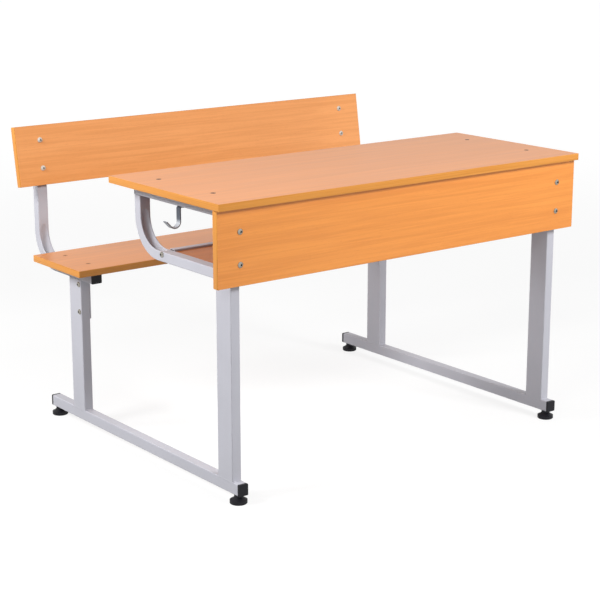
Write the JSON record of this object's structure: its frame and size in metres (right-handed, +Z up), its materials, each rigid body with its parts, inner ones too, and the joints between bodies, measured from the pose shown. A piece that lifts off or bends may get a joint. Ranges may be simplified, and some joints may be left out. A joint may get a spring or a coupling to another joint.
{
  "type": "student desk with bench",
  "caption": "Student desk with attached bench and backrest: wood-look boards on welded tube side frames, with a book shelf, bag hooks and levelling feet.",
  "frame": {"origin": "middle of the whole object's box, on the floor", "axes": "+Z up, +X to the right seen from the modesty panel, +Y from the modesty panel towards the bench"},
  "size_m": [1.216, 1.0106, 0.8207],
  "materials": {
    "melamine_board": "satin beech-look melamine",
    "edge_band": "satin plastic edge band",
    "silver_paint": "silver-grey powder coat",
    "hook_steel": "dark blue-grey coat",
    "bolt_chrome": "bright plated",
    "zinc_steel": "dull zinc plate",
    "black_plastic": "matt black"
  },
  "bodies": {
    "frame": {"backrest_board": "melamine_board", "backrest_bolts": "bolt_chrome", "backrest_edge_strips": "edge_band", "backrest_nuts": "zinc_steel", "base_rail_plugs": "black_plastic", "book_shelf_board": "melamine_board", "cross_tube_bolts": "bolt_chrome", "cross_tube_inserts": "zinc_steel", "desktop_board": "melamine_board", "desktop_edge_strips": "edge_band", "desktop_screws": "zinc_steel", "foot_nuts": "zinc_steel", "hook_screws": "zinc_steel", "left_bag_hook": "hook_steel", "left_base_rail": "silver_paint", "left_bench_leg": "silver_paint", "left_desk_arm": "silver_paint", "left_desk_leg": "silver_paint", "left_seat_arm": "silver_paint", "left_seat_plate": "silver_paint", "left_seat_rest_bar": "silver_paint", "left_top_rail": "silver_paint", "modesty_panel": "melamine_board", "panel_bolts": "bolt_chrome", "panel_edge_strips": "edge_band", "panel_nuts": "zinc_steel", "post_plugs": "black_plastic", "right_bag_hook": "hook_steel", "right_base_rail": "silver_paint", "right_bench_leg": "silver_paint", "right_desk_arm": "silver_paint", "right_desk_leg": "silver_paint", "right_seat_arm": "silver_paint", "right_seat_plate": "silver_paint", "right_seat_rest_bar": "silver_paint", "right_top_rail": "silver_paint", "seat_arm_plugs": "black_plastic", "seat_board": "melamine_board", "seat_edge_strips": "edge_band", "seat_plate_bolts": "bolt_chrome", "seat_screws": "zinc_steel", "shelf_cross_tube": "silver_paint", "shelf_screws": "zinc_steel", "shelf_tabs": "silver_paint", "top_rail_plugs": "black_plastic"},
    "front_left_foot": {"front_left_foot_pad": "black_plastic", "front_left_foot_stud": "zinc_steel"},
    "front_right_foot": {"front_right_foot_pad": "black_plastic", "front_right_foot_stud": "zinc_steel"},
    "rear_left_foot": {"rear_left_foot_pad": "black_plastic", "rear_left_foot_stud": "zinc_steel"},
    "rear_right_foot": {"rear_right_foot_pad": "black_plastic", "rear_right_foot_stud": "zinc_steel"}
  },
  "joints": [
    {"name": "front_left_foot_adjust", "type": "slide", "parent": "frame", "child": "front_left_foot", "axis": [0, 0, -1], "range_m": [0, 0.012]},
    {"name": "front_right_foot_adjust", "type": "slide", "parent": "frame", "child": "front_right_foot", "axis": [0, 0, -1], "range_m": [0, 0.012]},
    {"name": "rear_left_foot_adjust", "type": "slide", "parent": "frame", "child": "rear_left_foot", "axis": [0, 0, -1], "range_m": [0, 0.012]},
    {"name": "rear_right_foot_adjust", "type": "slide", "parent": "frame", "child": "rear_right_foot", "axis": [0, 0, -1], "range_m": [0, 0.012]}
  ]
}
